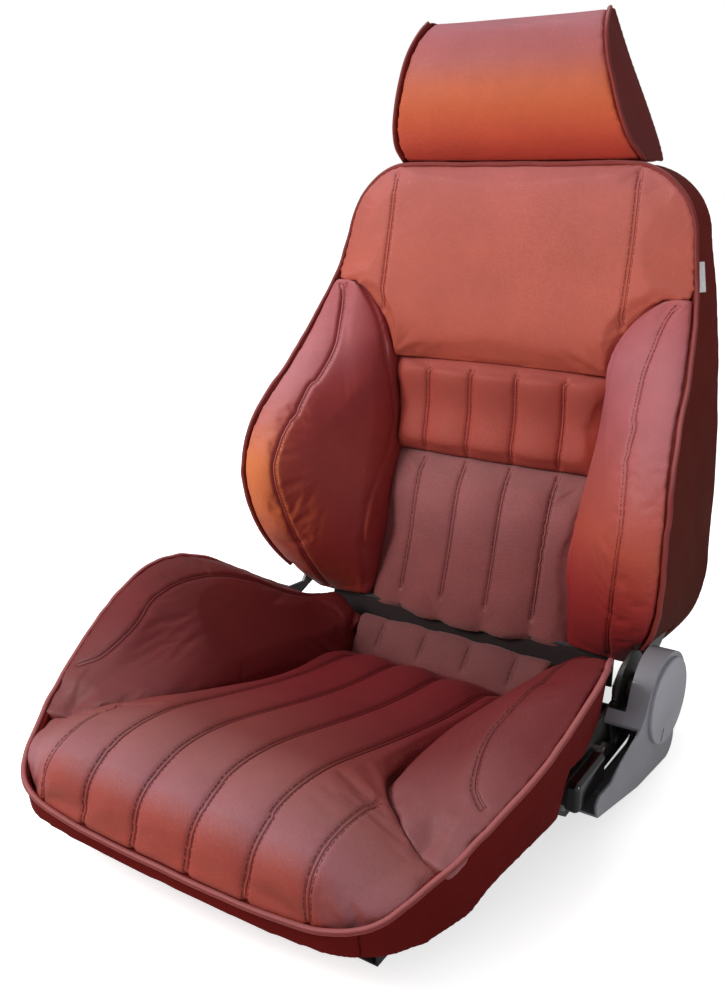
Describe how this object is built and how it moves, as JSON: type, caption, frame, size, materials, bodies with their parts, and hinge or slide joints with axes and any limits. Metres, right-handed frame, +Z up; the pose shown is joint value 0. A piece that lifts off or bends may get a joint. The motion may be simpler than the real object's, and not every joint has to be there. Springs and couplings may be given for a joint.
{
  "type": "reclining racing seat",
  "caption": "Bolstered car seat with pleated cushion and backrest, side recliner with release grip, folding backrest and a headrest on two posts.",
  "frame": {"origin": "middle of the four base bolts, on the plane that the seat stands on", "axes": "+Z up, the occupant faces -Y, +X is the recliner's side, the occupant's left"},
  "size_m": [0.5852, 0.7555, 0.8259],
  "materials": {
    "oxblood_leather": "satin grained leather",
    "pleated_leather": "satin grained leather, sewn in pleats",
    "pleated_cloth": "woven cloth, sewn in pleats",
    "dark_leather": "dark satin leather",
    "piping_leather": "smooth rolled leather",
    "black_cloth": "black lining cloth",
    "white_tape": "woven tape",
    "black_frame": "black powder coat",
    "zinc_steel": "zinc-plated steel",
    "spring_steel": "oiled spring steel",
    "chrome_steel": "polished chrome",
    "bush_bronze": "sintered bronze",
    "grey_plastic": "satin moulded plastic",
    "black_gloss": "glossy moulded plastic",
    "black_plastic": "moulded plastic"
  },
  "bodies": {
    "base": {"base_rail_left": "black_frame", "base_rail_right": "black_frame", "base_weld_nuts": "zinc_steel", "base_front_tube": "black_frame", "base_rear_tube": "black_frame", "base_side_plate_left": "black_frame", "base_side_plate_right": "black_frame", "cushion_springs": "spring_steel", "cushion_boxing_front": "oxblood_leather", "cushion_boxing_right": "oxblood_leather", "cushion_boxing_left": "oxblood_leather", "cushion_bolster_right": "oxblood_leather", "cushion_bolster_left": "oxblood_leather", "cushion_center_pad": "pleated_leather", "cushion_rear_pad": "pleated_cloth", "cushion_piping": "piping_leather", "recliner_bracket_right": "black_frame", "recliner_bracket_left": "black_frame", "bracket_spacers": "black_frame", "bracket_bolts": "zinc_steel", "pivot_bolts": "zinc_steel", "pivot_nuts": "zinc_steel", "pivot_washers": "zinc_steel", "recliner_pins": "zinc_steel", "recline_spring": "spring_steel", "recliner_cover": "grey_plastic", "recliner_cover_screws": "zinc_steel", "recliner_disc_cap": "grey_plastic", "hinge_cover_left": "grey_plastic"},
    "backrest": {"back_rear_panel": "black_cloth", "back_bottom_panel": "black_cloth", "back_boxing_top": "dark_leather", "back_boxing_right": "dark_leather", "back_boxing_left": "dark_leather", "back_wing_right": "oxblood_leather", "back_wing_left": "oxblood_leather", "back_lumbar_pad": "pleated_cloth", "back_mid_pad": "pleated_leather", "back_upper_pad": "oxblood_leather", "back_piping": "piping_leather", "back_flap": "black_cloth", "sewn_tag": "white_tape", "back_hoop_frame": "black_frame", "back_lower_crossbar": "black_frame", "back_upper_crossbar": "black_frame", "headrest_guides": "black_frame", "headrest_sleeves": "black_plastic", "back_springs": "spring_steel", "recliner_arm_right": "black_frame", "recliner_arm_left": "black_frame", "arm_bolts": "zinc_steel", "pivot_bushes": "bush_bronze"},
    "headrest": {"headrest_pad": "oxblood_leather", "headrest_side_panels": "dark_leather", "headrest_posts": "chrome_steel", "headrest_core": "zinc_steel", "headrest_piping": "piping_leather"},
    "lever": {"recliner_lever": "zinc_steel", "lever_grip": "black_gloss"},
    "pawl": {"recliner_pawl": "zinc_steel"}
  },
  "joints": [
    {"name": "recline", "type": "hinge", "parent": "base", "child": "backrest", "pos_m": [0, 0.256, 0.088], "axis": [-1, 0, 0], "range_deg": [-30, 20]},
    {"name": "headrest_height", "type": "slide", "parent": "backrest", "child": "headrest", "axis": [0, 0, 1], "range_m": [0, 0.06]},
    {"name": "recliner_lever_lift", "type": "hinge", "parent": "base", "child": "lever", "pos_m": [0.25, 0.165, 0.058], "axis": [-1, 0, 0], "range_deg": [0, 12], "stiffness_Nm_per_rad": 2, "springref_deg": -8.59},
    {"name": "pawl_release", "type": "hinge", "parent": "base", "child": "pawl", "pos_m": [0.245, 0.22, 0.041], "axis": [1, 0, 0], "range_deg": [0, 9.6]}
  ],
  "couplings": [
    {"joint": "pawl_release", "follows": "recliner_lever_lift", "ratio": 0.8}
  ]
}
